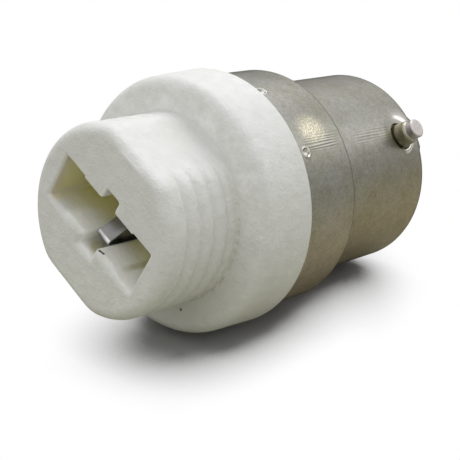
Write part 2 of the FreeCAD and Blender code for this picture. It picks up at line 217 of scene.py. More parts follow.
def spin(bm, steps, keep=()):
    """Turns the profile once round the axis and closes its seam and poles."""
    kept = set(keep)
    geom = [part for part in bm.verts[:] + bm.edges[:] if part not in kept]
    bmesh.ops.spin(bm, geom=geom, cent=(0, 0, 0), axis=(0, 0, 1), dvec=(0, 0, 0), angle=2 * pi,
                   space=Matrix(), steps=steps, use_merge=True, use_normal_flip=False,
                   use_duplicate=False)
    bmesh.ops.remove_doubles(bm, verts=bm.verts, dist=1e-5)
    bmesh.ops.recalc_face_normals(bm, faces=bm.faces)


def refine(bm, centre, reach, cuts):
    """Divides the faces near a place more finely."""
    edges = {edge for face in bm.faces if (face.calc_center_median() - centre).length < reach
             for edge in face.edges}
    bmesh.ops.subdivide_edges(bm, edges=list(edges), cuts=cuts, use_grid_fill=True)


def finished(name, bm, finish_name, nodes, keep_sharp=35.0):
    """Makes the piece from its mesh in millimetres and gives it its place in the frame."""
    bmesh.ops.scale(bm, vec=(MM, MM, MM), verts=bm.verts)
    mesh = bpy.data.meshes.new(name)
    bm.to_mesh(mesh)
    bm.free()
    mesh.shade_smooth()
    mesh.set_sharp_from_angle(angle=radians(keep_sharp))
    mesh.materials.append(finish(finish_name))
    piece = bpy.data.objects.new(name, mesh)
    bpy.context.scene.collection.objects.link(piece)
    even = piece.modifiers.new("even_normals", "WEIGHTED_NORMAL")
    even.keep_sharp = True
    even.weight = 80
    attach(piece, "root")
    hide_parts(*nodes)
    return piece


def extruded(bm, edges):
    """New edges and vertices drawn out from these edges, still in the same place."""
    made = bmesh.ops.extrude_edge_only(bm, edges=edges)["geom"]
    new_edges = [part for part in made if isinstance(part, bmesh.types.BMEdge)]
    # The edges that join the old ring to the new one are left out.
    verts = {part for part in made if isinstance(part, bmesh.types.BMVert)}
    return [e for e in new_edges if e.verts[0] in verts and e.verts[1] in verts], verts


def level(verts, z):
    """Sets all the vertices to one height."""
    for vert in verts:
        vert.co.z = z


def rectangle(bm, half_x, half_y, x, z):
    """A closed loop of four edges."""
    verts = [bm.verts.new((x + i * half_x, j * half_y, z))
             for i, j in ((1, 1), (-1, 1), (-1, -1), (1, -1))]
    return [bm.edges.new(pair) for pair in zip(verts, verts[1:] + verts[:1])]


def fill(bm, edges):
    """Flat faces between an outer loop and the loops inside it."""
    bmesh.ops.triangle_fill(bm, use_beauty=True, use_dissolve=False, edges=edges, normal=(0, 0, 1))


# The ceramic body

CERAMIC_STEPS = 480
CORNER_ROUND = 0.28
MOUTH_STEP = 0.4
RIM_STEPS = 8
# Depths of the rows that the slot's walls are divided into.
WALL_ROWS = (1.6, 2.6, 4.0, 6.0)
ROOT_ROUND = 0.06
GROOVES = 4
# How much lower the ridge next to the flange is.
LAST_RIDGE_DROP = 0.08
# Degrees from the slot's +X end where the grooves begin to run out, and where they are gone.
GROOVE_FADE = (46, 64)
# Rounding between a flat and the face, and how soft the flats' long edges are.
FLAT_EDGE = 0.95
FLAT_BLEND = 0.42


def slot_corners(s, grow):
    """The cross-shaped mouth's corners, its walls moved out by grow."""
    end = s.slot_half + grow
    end_wide = s.slot_end_wide + grow
    jog = s.slot_jog - grow
    wide = s.slot_wide + grow
    notch = s.notch_half + grow
    notch_end = s.notch_end + grow

    def half(slant):
        """The corners on one side of the slot, with this slant at the step."""
        quarter = [(end, end_wide), (jog + slant, end_wide), (jog - slant, wide), (notch, wide),
                   (notch, notch_end)]
        return quarter + [(-x, y) for x, y in reversed(quarter)]

    return half(s.jog_slant) + [(-x, -y) for x, y in half(0)]


def mouth_outline(s, grow, cuts=None):
    """The mouth as a loop of edges with rounded corners and the long runs divided."""
    bm = bmesh.new()
    corners = slot_corners(s, grow)
    verts = [bm.verts.new((x, y, 0)) for x, y in corners]
    for pair in zip(verts, verts[1:] + verts[:1]):
        bm.edges.new(pair)
    step = s.slot_end_wide - s.slot_wide
    for vert, (x, y) in zip(verts, corners):
        slant = s.jog_slant if y > 0 else 0
        near_step = abs(abs(abs(x) - (s.slot_jog - grow)) - slant) < 1e-6
        offset = max(step * 0.45, slant * 0.9) if near_step else CORNER_ROUND
        bmesh.ops.bevel(bm, geom=[vert], offset=offset, offset_type="OFFSET", affect="VERTICES",
                        segments=4, profile=0.5, material=-1)
    edges = list(bm.edges)
    if cuts is None:
        cuts = [int(edge.calc_length() / MOUTH_STEP) for edge in edges]
    for edge, count in zip(edges, cuts):
        if count:
            bmesh.ops.subdivide_edges(bm, edges=[edge], cuts=count)
    return bm, cuts


def smooth_step(value, start, end):
    """0 at start and 1 at end, with a soft beginning and end."""
    t = max(0.0, min(1.0, (value - start) / (end - start)))
    return t * t * (3 - 2 * t)


def rim_share(x, y):
    """How broad the rim's rounding is: wide and uneven along +Y, narrow elsewhere."""
    side = smooth_step(y, 0.8, 2.3) * (1 - 0.75 * smooth_step(abs(x), 5.2, 6.9))
    return 1 + side * (1.05 + 0.3 * sin(1.7 * x + 0.6) + 0.14 * sin(4.3 * x + 1.0))


def mouth_walls(bm, s, wide):
    """Draws the rim and the walls from the outline down to the floor. Returns the two end loops."""
    away = bm.verts.layers.float_vector.new("away")
    foot = bm.verts.layers.float_vector.new("foot")
    bm.verts.ensure_lookup_table()
    wide.verts.ensure_lookup_table()
    for inner, outer in zip(bm.verts, wide.verts):
        inner[foot] = inner.co
        inner[away] = outer.co - inner.co
    wide.free()

    def move(verts, grow, extra, drop, fixed=None):
        """Sets a row outside the outline by grow, below the face by drop, or all at a fixed depth."""
        for vert in verts:
            share = rim_share(vert[foot].x, vert[foot].y)
            vert.co = vert[foot] + vert[away] * (grow * share + extra)
            vert.co.z = s.face_z - (drop * share if fixed is None else fixed)

    ring = list(bm.edges)
    top = ring
    move(bm.verts, s.rim, 0.1, 0)
    for i in range(RIM_STEPS + 1):
        turn = pi / 2 * i / RIM_STEPS
        ring, verts = extruded(bm, ring)
        move(verts, s.rim * (1 - sin(turn)), 0, s.rim * (1 - cos(turn)))
    for depth in (*WALL_ROWS, s.face_z - s.slot_floor):
        ring, verts = extruded(bm, ring)
        move(verts, 0, 0, 0, depth)
    return top, ring


def slot_bottom(bm, s, ring):
    """Floor, notch, contact windows and chambers, from the walls' lower loop down."""
    verts = {v for e in ring for v in e.verts}
    links = []
    for side in (1, -1):
        ends = [min(verts, key=lambda v: hypot(v.co.x - side * s.notch_half, v.co.y - across * s.slot_wide))
                for across in (1, -1)]
        links.append(bm.edges.new(ends))
    inside = s.notch_half + 0.1
    notch = [e for e in ring if max(abs(v.co.x) for v in e.verts) < inside
             and min(abs(v.co.y) for v in e.verts) > links[0].verts[0].co.y - 1e-4]
    chambers = []
    for side, link in zip((1, -1), links):
        window = rectangle(bm, s.window_l / 2, s.window_w / 2, side * s.window_x, s.slot_floor)
        floor = [e for e in ring if e not in notch and e.verts[0].co.x * side > 0]
        fill(bm, floor + [link] + window)
        lower, moved = extruded(bm, window)
        level(moved, s.chamber_top)
        chamber = rectangle(bm, s.chamber_l / 2, s.chamber_w / 2, side * s.window_x, s.chamber_top)
        fill(bm, lower + chamber)
        end, moved = extruded(bm, chamber)
        level(moved, s.spigot_z)
        chambers += end
    base, moved = extruded(bm, notch + links)
    level(moved, s.notch_floor)
    fill(bm, base)
    return chambers


def soft_limit(value, limit, blend):
    """The value held at a limit, with a short smooth run-in."""
    if value <= limit - blend:
        return value
    if value >= limit + blend:
        return limit
    return limit - (limit + blend - value) ** 2 / (4 * blend)


def ceramic_profile(bm, s):
    """Half section of the ceramic's outside, from the face's edge to the spigot's end."""
    points = [(s.nose_r - s.face_round - 0.1, s.face_z), (s.nose_r, s.face_z, s.face_round)]
    for turn in reversed(range(GROOVES)):
        middle = s.flange_front + s.groove_start + turn * s.groove_pitch
        low = s.nose_r if turn else s.nose_r - LAST_RIDGE_DROP
        points += [(s.nose_r, middle + s.groove_mouth / 2, s.crest_round),
                   (s.nose_r - s.groove_depth, middle, 0.1),
                   (low, middle - s.groove_mouth / 2, s.crest_round if turn else 0.4)]
    points += [(s.nose_r - LAST_RIDGE_DROP, s.flange_front + 0.16, 0.1),
               (s.nose_r + ROOT_ROUND, s.flange_front, 0.05),
               (s.flange_r - s.flange_draft, s.flange_front, s.flange_round),
               (s.flange_r, s.flange_back + 0.3, 0.12), (s.flange_r - 0.3, s.flange_back, 0.12),
               (s.spigot_r, s.flange_back), (s.spigot_r, s.spigot_z), (s.spigot_r - 0.4, s.spigot_z)]
    wire(bm, points)


def fade_grooves(bm, s):
    """Lets the grooves run out before they reach the flats' +X ends."""
    for vert in bm.verts:
        r = hypot(vert.co.x, vert.co.y)
        in_groove = s.nose_r - s.groove_depth - 0.01 <= r <= s.nose_r - 1e-4
        on_nose = s.flange_front + 0.4 < vert.co.z < s.face_z - s.face_round
        if vert.co.x < 0 or not in_groove or not on_nose:
            continue
        angle = degrees(atan2(abs(vert.co.y), vert.co.x))
        lift = 1 + (s.nose_r / r - 1) * smooth_step(angle, *GROOVE_FADE)
        vert.co.x *= lift
        vert.co.y *= lift


def press_flats(bm, s):
    """Holds the nose's surface at the two flats, root rounding and face rounding included."""
    for vert in bm.verts:
        r = hypot(vert.co.x, vert.co.y)
        if vert.co.z < s.flange_front - 1e-4 or r > s.nose_r + ROOT_ROUND + 1e-3 or abs(vert.co.y) < 6:
            continue
        spread = max(0.0, r - s.nose_r)
        rise = max(0.0, min(1.0, (vert.co.z - (s.face_z - FLAT_EDGE)) / FLAT_EDGE))
        limit = s.flat_y + spread - FLAT_EDGE * (1 - (1 - rise * rise) ** 0.5)
        vert.co.y = soft_limit(abs(vert.co.y), limit, FLAT_BLEND) * (1 if vert.co.y > 0 else -1)


def make_ceramic():
    """The ceramic with its slot, nose, flange and spigot."""
    s = socket_sizes()
    bm, cuts = mouth_outline(s, 0)
    wide = mouth_outline(s, 1.0, cuts)[0]
    top, ring = mouth_walls(bm, s, wide)
    chambers = slot_bottom(bm, s, ring)
    inside = bm.verts[:] + bm.edges[:]
    ceramic_profile(bm, s)
    spin(bm, CERAMIC_STEPS, inside)
    fade_grooves(bm, s)
    press_flats(bm, s)
    rim = [e for e in bm.edges if e.is_boundary]
    face = [e for e in rim if e.verts[0].co.z > s.face_z - 1e-3]
    base = [e for e in rim if e.verts[0].co.z < s.spigot_z + 1e-3]
    fill(bm, face)
    fill(bm, base)
    bmesh.ops.recalc_face_normals(bm, faces=bm.faces)
    finished("socket_ceramic", bm, "fired_ceramic", ["ceramic_body"], keep_sharp=50.0)


# The metal cap

SHELL_STEPS = 320
ROW_STEP = 0.22
# How finely the wall is divided round a punch mark and round a pin.
MARK_CUTS = 3
PIN_CUTS = 4
PUNCH_LIP = 0.06
GAP_DEPTH = 0.36
PIN_LIP = 0.1
PIN_DISH = 0.11
PIN_DISH_REACH = 1.7
PIN_STEPS = 72
PIN_NECK_R = 1.35
END_STEPS = 192
PLATE_STEPS = 96
SOLDER_STEPS = 64
# The insulator's body inside the barrel.
INSULATOR_R = 9.5
INSULATOR_TOP = 6.4


def on_surface(vert, turn, z):
    """Distance along the wall from a place at this turn and height."""
    angle = (degrees(atan2(vert.co.y, vert.co.x)) - turn + 180) % 360 - 180
    return hypot(radians(angle) * hypot(vert.co.x, vert.co.y), vert.co.z - z)


def beside(vert, turn):
    """Distance from the plane through the axis at this turn."""
    return vert.co.y * cos(radians(turn)) - vert.co.x * sin(radians(turn))


def push_in(vert, depth):
    """Moves a vertex straight towards the axis."""
    r = hypot(vert.co.x, vert.co.y)
    vert.co.x *= (r - depth) / r
    vert.co.y *= (r - depth) / r


def at_turn(r, turn, z):
    """The place at this radius, turn in degrees and height."""
    return Vector((r * cos(radians(turn)), r * sin(radians(turn)), z))


def onto_wall(bm, centre, reach, r, wall):
    """Sets the fine vertices near a place on the round wall again."""
    for vert in bm.verts:
        now = hypot(vert.co.x, vert.co.y)
        if (vert.co - centre).length < reach and abs(now - r) < wall / 2:
            push_in(vert, now - r)


def punch_depth(s, far):
    """A cup with a steep side and a thin raised lip."""
    if far < s.mark_r:
        return s.mark_depth * (1 - (far / s.mark_r) ** 2) ** 0.8
    return -PUNCH_LIP * max(0.0, 1 - abs(far - s.mark_r - 0.12) / 0.16)


def pin_dish_depth(s, far, aside, below):
    """The pressed ring round a pin: a narrow gap, a lip on one side and a shallow dish on the other.

    far is the distance from the pin's middle, aside and below are its two parts.
    """
    gap = s.collar_r + s.collar_gap
    if far < gap:
        return GAP_DEPTH
    wall = GAP_DEPTH * (1 - smooth_step(far, gap, gap + 0.14))
    lip = PIN_LIP * max(0.0, 1 - abs(far - gap - 0.22) / 0.18) * smooth_step(-aside, -1.1, 0.4)
    lip *= smooth_step(below, -0.9, 0.5)
    dish = PIN_DISH * smooth_step(aside, -1.0, 0.8) * (1 - smooth_step(far, gap + 0.3, gap + 1.5))
    return max(wall, dish) - lip


def make_shell():
    """The drawn shell with its punch marks and the pressed rings round the pins."""
    s = cap_sizes()
    inner = s.barrel_r - s.wall
    bm = bmesh.new()
    wire(bm, [(s.end_hole_r, s.end_z), (s.barrel_r, s.end_z, s.end_round),
              (s.barrel_r, s.shoulder_z, s.shoulder_round),
              (s.skirt_r, s.shoulder_z, s.shoulder_round),
              (s.skirt_r, s.top_z, 0.1), (s.skirt_r - s.wall, s.top_z, 0.1),
              (s.skirt_r - s.wall, s.shoulder_z + s.wall), (inner, s.shoulder_z + s.wall),
              (inner, s.end_z + s.wall, s.end_round - s.wall), (s.end_hole_r, s.end_z + s.wall)],
         closed=True)
    cut_rows(bm, s.mark_z - 1.6, s.top_z, ROW_STEP, s.skirt_r - 0.01)
    cut_rows(bm, s.pin_z - 3, s.pin_z + 3, ROW_STEP, s.barrel_r - 0.01)
    spin(bm, SHELL_STEPS)
    for turn in MARK_TURNS:
        centre = at_turn(s.skirt_r, turn, s.mark_z)
        refine(bm, centre, s.mark_r + 0.4, MARK_CUTS)
        onto_wall(bm, centre, s.mark_r + 0.8, s.skirt_r, s.wall)
        for vert in bm.verts:
            if abs(hypot(vert.co.x, vert.co.y) - s.skirt_r) < 0.01 and abs(vert.co.z - s.mark_z) < 1.2:
                far = on_surface(vert, turn, s.mark_z)
                if far < s.mark_r + 0.3:
                    push_in(vert, punch_depth(s, far))
    for turn in PIN_TURNS.values():
        centre = at_turn(s.barrel_r, turn, s.pin_z)
        reach = s.collar_r + PIN_DISH_REACH
        refine(bm, centre, s.collar_r + 0.7, PIN_CUTS)
        onto_wall(bm, centre, reach + 0.3, s.barrel_r, s.wall)
        for vert in bm.verts:
            if abs(hypot(vert.co.x, vert.co.y) - s.barrel_r) < 0.01 and abs(vert.co.z - s.pin_z) < reach:
                far = on_surface(vert, turn, s.pin_z)
                if far < reach:
                    push_in(vert, pin_dish_depth(s, far, beside(vert, turn), s.pin_z - vert.co.z))
    finished("cap_metal", bm, "dull_nickel", ["cap_shell"])


def make_pins():
    """The two bayonet pins, each with its collar."""
    s = cap_sizes()
    for name, turn in PIN_TURNS.items():
        bm = bmesh.new()
        root = s.barrel_r - s.wall - 0.6
        wire(bm, [(0, root), (PIN_NECK_R, root, 0.1), (PIN_NECK_R, s.barrel_r - s.wall),
                  (s.collar_r - 0.08, s.barrel_r - 0.3), (s.collar_r, s.barrel_r + 0.1, 0.3),
                  (s.collar_front_r + 0.03, s.collar_end - 0.1, 0.3), (s.pin_r + 0.05, s.collar_end, 0.06),
                  (s.pin_r, s.collar_end + 0.1, 0.06), (s.pin_r, s.pin_end, 0.16),
                  (s.pin_r * 0.6, s.pin_end - 0.01, 0.1), (0, s.pin_end - 0.02)])
        spin(bm, PIN_STEPS)
        bmesh.ops.transform(bm, verts=bm.verts, matrix=Matrix.Translation((0, 0, s.pin_z))
                            @ Matrix.Rotation(radians(turn), 4, "Z") @ Matrix.Rotation(pi / 2, 4, "Y"))
        finished("pin_" + name, bm, "pin_nickel", ["bayonet_pin_" + name])


def make_end():
    """Insulator and the two soldered contact plates."""
    s = cap_sizes()
    bm = bmesh.new()
    seat = s.end_z + s.wall + 0.02
    hole = s.end_hole_r - 0.1
    wall = s.barrel_r - s.wall - 0.1
    wire(bm, [(0, s.boss_z), (hole, s.boss_z, 0.6), (hole, seat), (s.barrel_r - s.end_round, seat),
              (wall, seat + 0.53), (wall, seat + 0.55), (INSULATOR_R, seat + 0.55),
              (INSULATOR_R, INSULATOR_TOP), (0, INSULATOR_TOP)])
    spin(bm, END_STEPS)
    finished("end_insulator_moulding", bm, "black_moulding", ["end_insulator"])
    for name, side in (("left", -1), ("right", 1)):
        x = side * s.plate_pitch / 2 * cos(radians(PLATE_TURN))
        y = side * s.plate_pitch / 2 * sin(radians(PLATE_TURN))
        bm = bmesh.new()
        wire(bm, [(1.35, 0), (s.plate_r, 0, 0.2), (s.plate_r, s.boss_z - 0.02), (1.25, s.boss_z - 0.02),
                  (1.25, 6.42), (1.9, 6.42), (1.9, 6.77), (0.7, 6.77), (0.7, 0.7)], closed=True)
        spin(bm, PLATE_STEPS)
        bmesh.ops.translate(bm, vec=(x, y, 0), verts=bm.verts)
        finished("end_plate_" + name, bm, "pressed_brass", ["end_contact_" + name])
        bm = bmesh.new()
        wire(bm, [(0, 0.03), (0.6, 0.05), (1.05, 0.1), (1.36, 0.2), (0.7, 0.66), (0, 0.66)])
        spin(bm, SOLDER_STEPS)
        bmesh.ops.translate(bm, vec=(x, y, 0), verts=bm.verts)
        finished("solder_" + name, bm, "dull_solder", ["solder_tip_" + name])


# Half the strip's width, its thickness and the rounding of its edges.
GRIP_HALF = 0.9
GRIP_THICK = 0.26
GRIP_EDGE = 0.05


def make_grip():
    """The bent strip across the notch that nips the lamp's foot."""
    s = socket_sizes()
    base = s.notch_floor + 0.17
    leg = [(3.1, base, 0), (3.1, s.face_z - 6.5, 0.6), (2.47, s.face_z - 1.78, 0.2),
           (0.72, s.face_z - 3.8, 0.25), (1.7, s.face_z - 6.2, 0)]
    route = [(-y, z, bend) for y, z, bend in reversed(leg)] + leg
    bm = bmesh.new()
    verts = [bm.verts.new((0, y, z)) for y, z, bend in route]
    for pair in zip(verts, verts[1:]):
        bm.edges.new(pair)
    places = [Vector(point[:2]) for point in route]
    for i in range(1, len(verts) - 1):
        turn = (places[i - 1] - places[i]).angle(places[i + 1] - places[i])
        round_corner(bm, verts[i], route[i][2] or 0.33, turn, 6)
    made = bmesh.ops.extrude_edge_only(bm, edges=bm.edges[:])["geom"]
    other = [g for g in made if isinstance(g, bmesh.types.BMVert)]
    bmesh.ops.translate(bm, vec=(GRIP_HALF, 0, 0), verts=bm.verts)
    bmesh.ops.translate(bm, vec=(-2 * GRIP_HALF, 0, 0), verts=other)
    bmesh.ops.recalc_face_normals(bm, faces=bm.faces)
    piece = finished("grip_spring", bm, "grip_strip", ["retaining_spring"])
    piece.modifiers.remove(piece.modifiers["even_normals"])
    thick = piece.modifiers.new("thickness", "SOLIDIFY")
    thick.thickness = GRIP_THICK * MM
    thick.offset = 0
    edge = piece.modifiers.new("edges", "BEVEL")
    edge.width = GRIP_EDGE * MM
    edge.segments = 2
    edge.limit_method = "ANGLE"
    edge.angle_limit = radians(60)


# Finishes

WHITE = (1, 1, 1, 1)
# Painted light on the upper part of the flange's front face.
LIT_FLANGE_RING = (0.965, 0.96, 0.95, 1)
# Painted shade in the crease at the nose's root.
ROOT_CREASE_SHADE = (0.42, 0.40, 0.30, 1)
# Painted shade on the notch's far wall.
NOTCH_SHADE = (0.50, 0.46, 0.25, 1)
# Painted highlight on the slot's rims.
RIM_HIGHLIGHT = (0.97, 0.972, 0.955, 1)
# Painted shade at the slot's step.
STEP_SHADE = (0.50, 0.47, 0.29, 1)
END_BROWN = (0.82, 0.71, 0.48, 1)
# Painted highlight on the slot's -Y rim.
EDGE_HIGHLIGHT = (1, 1, 0.99, 1)
# Painted shade below the retaining strip.
UNDER_STRIP_SHADE = (0.66, 0.66, 0.67, 1)
CHIP_BROWN = (0.09, 0.065, 0.04, 1)
LINE_DARK = (0.16, 0.15, 0.13, 1)
# Painted sheen between the drawn lines.
LINE_SHEEN = (0.85, 0.82, 0.72, 1)
# Glittering specks over a painted highlight.
GLITTER_HIGHLIGHT = (0.95, 0.88, 0.66, 1)
# Painted shade in the gap round a pin.
GAP_SHADE = (0.05, 0.045, 0.04, 1)
HALO_BROWN = (0.22, 0.20, 0.13, 1)
# Painted glints round the pins and punch marks.
GLINT_BRIGHT = (0.95, 0.93, 0.88, 1)
# Painted shade at the shoulder, at grazing edges and at the barrel's end.
SHOULDER_SHADE = (0.10, 0.09, 0.075, 1)
GRAZING_SHADE = (0.05, 0.05, 0.048, 1)
END_EDGE_SHADE = (0.12, 0.11, 0.09, 1)
COLLAR_STAIN = (0.42, 0.39, 0.29, 1)
COLLAR_DARK = (0.17, 0.15, 0.09, 1)
TIP_BRIGHT = (0.60, 0.565, 0.545, 1)
TIP_DULL = (0.42, 0.39, 0.37, 1)
# Layers of blotches on the shell: size, amount and what the tone is multiplied by.
SHELL_BLOTCHES = ((210.0, 0.9, (0.87, 0.845, 0.77, 1)), (330.0, 0.8, (0.91, 0.95, 0.87, 1)),
                  (950.0, 0.7, (0.80, 0.79, 0.76, 1)), (3400.0, 0.8, (0.70, 0.69, 0.67, 1)))
# Where the lines drawn along the wall begin and end in height, and how strong they are.
DRAWN_RUNS = ((6.8, 13.6, 0.4), (19.4, 24.0, 0.95))
LINE_STEP = 0.3
# Colour, roughness, how the grain is drawn out, its size and depth, and its shade.
METALS = {
    "spring_wire": ("spring", 0.3, (0.3, 1, 1), 900.0, 0.00002, 0.82),
    "contact_strip": ("spring", 0.32, (1, 1, 0.3), 900.0, 0.00003, 0.82),
    "pressed_brass": ("brass", 0.34, (1, 1, 1), 600.0, 0.00005, 0.82),
    "dull_solder": ("solder", 0.3, (1, 1, 1), 900.0, 0.0001, 0.75),
    "tinned_wire": ("solder", 0.3, (1, 1, 0.2), 1200.0, 0.00003, 0.82),
}
# Colour, what it is multiplied by, roughness, the grain's size and depth, and its shade.
MOULDED = {
    "black_moulding": ("insulator", (1, 1, 1), 0.32, 500.0, 0.00006, 1.5),
    "woven_sleeve": ("sleeve", (1, 1, 1), 0.8, 900.0, 0.0002, 0.8),
    "cover_ceramic": ("ceramic", (0.97, 0.96, 0.92), 0.6, 300.0, 0.0001, 0.9),
}


def scaled(base, *shares):
    """A colour with its red, green and blue multiplied."""
    return (*(value * share for value, share in zip(base, shares)), 1)


class Nodes:
    """Short calls for a node tree. Masks run from 0 to 1, and places in the tree are metres."""

    def __init__(self, tree):
        self.tree = tree
        self.place = None

    def add(self, kind, **values):
        """A new node with these properties."""
        node = self.tree.nodes.new(kind)
        for key, value in values.items():
            setattr(node, key, value)
        return node

    def put(self, sockets, values):
        """Joins each value that is another node's output to its socket, and sets the others."""
        for socket, value in zip(sockets, values):
            if isinstance(value, bpy.types.NodeSocket):
                self.tree.links.new(value, socket)
            else:
                socket.default_value = value

    def set(self, node, **values):
        """Sets or joins a node's inputs by name."""
        self.put([node.inputs[key.replace("_", " ")] for key in values], values.values())

    def math(self, operation, *values):
        """The result of one step of arithmetic."""
        node = self.add("ShaderNodeMath", operation=operation)
        self.put(node.inputs, values)
        return node.outputs[0]

    def times(self, first, *others):
        """All the values multiplied."""
        for other in others:
            first = self.math("MULTIPLY", first, other)
        return first

    def inverse(self, mask):
        """The mask with 0 and 1 exchanged."""
        return self.math("SUBTRACT", 1.0, mask)

    def off(self, value, middle):
        """How far a value is from its middle, given in millimetres."""
        return self.math("ABSOLUTE", self.math("SUBTRACT", value, middle * MM))

    def vector(self, operation, *values):
        """The result of one step with vectors."""
        node = self.add("ShaderNodeVectorMath", operation=operation)
        self.put(node.inputs, values)
        return node.outputs["Vector" if operation == "MULTIPLY" else "Value"]

    def along(self, direction):
        """How far the place is from the origin in this direction."""
        return self.vector("DOT_PRODUCT", self.place, direction)

    def from_axis(self):
        """The place's distance from the axis."""
        return self.vector("LENGTH", self.vector("MULTIPLY", self.place, (1, 1, 0)))

    def axes(self):
        """The place's X, Y and Z."""
        split = self.add("ShaderNodeSeparateXYZ")
        self.put(split.inputs, [self.place])
        return split.outputs

    def ramp(self, value, start, end, smooth=True):
        """A mask that is 0 at start and 1 at end."""
        node = self.add("ShaderNodeMapRange", clamp=True,
                        interpolation_type="SMOOTHSTEP" if smooth else "LINEAR")
        self.set(node, Value=value, From_Min=start, From_Max=end)
        return node.outputs["Result"]

    def zone(self, value, start, end):
        """The same with start and end in millimetres."""
        return self.ramp(value, start * MM, end * MM)

    def near(self, centre, inner, outer):
        """1 within the inner distance of a place in millimetres and 0 beyond the outer one."""
        far = self.vector("DISTANCE", self.place, [value * MM for value in centre])
        return self.zone(far, outer, inner)

    def mix(self, factor, a, b, blend_type="MIX"):
        """Colour a, and colour b where the factor is 1."""
        node = self.add("ShaderNodeMix", data_type="RGBA", blend_type=blend_type)
        self.put((node.inputs["Factor"], node.inputs[6], node.inputs[7]), (factor, a, b))
        return node.outputs[2]

    def noise(self, scale, detail, roughness=0.5, place=None):
        """Soft random values round 0.5."""
        node = self.add("ShaderNodeTexNoise")
        self.set(node, Vector=place or self.place, Scale=scale, Detail=detail, Roughness=roughness)
        return node.outputs["Fac"]

    def use(self, tree, **values):
        """The outputs of a shared group at this tree's place."""
        node = self.add("ShaderNodeGroup", node_tree=tree)
        self.set(node, Place=self.place, **values)
        return node.outputs

    def mottle(self, base, shade, amount, size):
        """The base colour with blotches of the shade."""
        return self.use(mottle_group(), Colour=base, Shade=shade, Amount=amount, Size=size)["Colour"]

    def grain(self, coarse, fine, fine_share):
        """The height of the surface's grain."""
        return self.use(grain_group(), Coarse=coarse, Fine=fine, Fine_Share=fine_share)["Height"]

    def spread(self, value, low, high):
        """A value from low to high, as the given one runs from 0 to 1."""
        node = self.add("ShaderNodeMapRange")
        self.set(node, Value=value, To_Min=low, To_Max=high)
        return node.outputs["Result"]

    def bump(self, shader, height, strength, distance):
        """Gives the shader a relief."""
        node = self.add("ShaderNodeBump")
        self.set(node, Height=height, Strength=strength, Distance=distance)
        self.set(shader, Normal=node.outputs["Normal"])

    def blend(self, factor, a, b):
        """Shader a, and shader b where the factor is 1."""
        node = self.add("ShaderNodeMixShader")
        self.put(node.inputs, (factor, a, b))
        return node.outputs[0]


def group(name, inputs, outputs):
    """A node group; its nodes, inputs and output node come with it while it is empty."""
    if name in bpy.data.node_groups:
        return bpy.data.node_groups[name], None, None, None
    made = bpy.data.node_groups.new(name, "ShaderNodeTree")
    made.interface.new_socket("Place", in_out="INPUT", socket_type="NodeSocketVector")
    for label, default in inputs.items():
        kind = "NodeSocketFloat" if isinstance(default, float) else "NodeSocketColor"
        made.interface.new_socket(label, in_out="INPUT", socket_type=kind).default_value = default
    for label, kind in outputs.items():
        made.interface.new_socket(label, in_out="OUTPUT", socket_type=kind)
    n = Nodes(made)
    come = n.add("NodeGroupInput").outputs
    n.place = come["Place"]
    return made, n, come, n.add("NodeGroupOutput")


def mottle_group():
    """Colour that drifts a little from place to place, with small specks."""
    made, n, come, go = group("mottle", {"Colour": (0.8, 0.8, 0.8, 1), "Shade": (0.7, 0.7, 0.65, 1),
                                         "Size": 200.0, "Amount": 0.3}, {"Colour": "NodeSocketColor"})
    if n:
        mask = n.ramp(n.noise(come["Size"], 4.0, 0.62), 0.35, 0.7, False)
        n.set(go, Colour=n.mix(n.times(mask, come["Amount"]), come["Colour"], come["Shade"]))
    return made


def grain_group():
    """Fine surface grain as a height: coarse waves and fine tooth together."""
    made, n, come, go = group("grain", {"Coarse": 600.0, "Fine": 6000.0, "Fine Share": 0.35},
                              {"Height": "NodeSocketFloat"})
    if n:
        blend = n.add("ShaderNodeMix", data_type="FLOAT")
        n.put((blend.inputs["Factor"], blend.inputs[2], blend.inputs[3]),
              (come["Fine Share"], n.noise(come["Coarse"], 2.0), n.noise(come["Fine"], 3.0, 0.6)))
        n.set(go, Height=blend.outputs[0])
    return made


def beside_pin(n):
    """How far the place is from the plane through the axis and the front pin."""
    turn = radians(PIN_TURNS["front"])
    return n.along((-sin(turn), cos(turn), 0))


def draw_lines_group():
    """Lines drawn along the wall beside the front pin: dark drawn lines, and a painted sheen between them.
    """
    made, n, come, go = group("draw_lines", {}, {"Dark": "NodeSocketFloat", "Bright": "NodeSocketFloat"})
    if n:
        aside = beside_pin(n)
        z = n.axes()[2]
        route = n.add("ShaderNodeCombineXYZ")
        n.set(route, X=n.times(aside, 900.0), Y=n.times(z, 120.0))
        waver = n.times(n.noise(1.0, 2.0, place=route.outputs[0]), 10.0)
        wave = n.math("SINE", n.math("ADD", n.times(aside, 2 * pi / (LINE_STEP * MM)), waver))
        ends = [n.times(n.zone(z, low - 0.8, low + 0.8), n.zone(z, high + 1.2, high - 1.2), share)
                for low, high, share in DRAWN_RUNS]
        where = n.times(n.zone(aside, -0.3, 0.3), n.zone(aside, 1.9, 1.3), n.math("MAXIMUM", *ends))
        n.set(go, Dark=n.times(where, n.ramp(wave, 0.25, 0.95)),
              Bright=n.times(where, n.ramp(wave, -0.25, -0.95)))
    return made


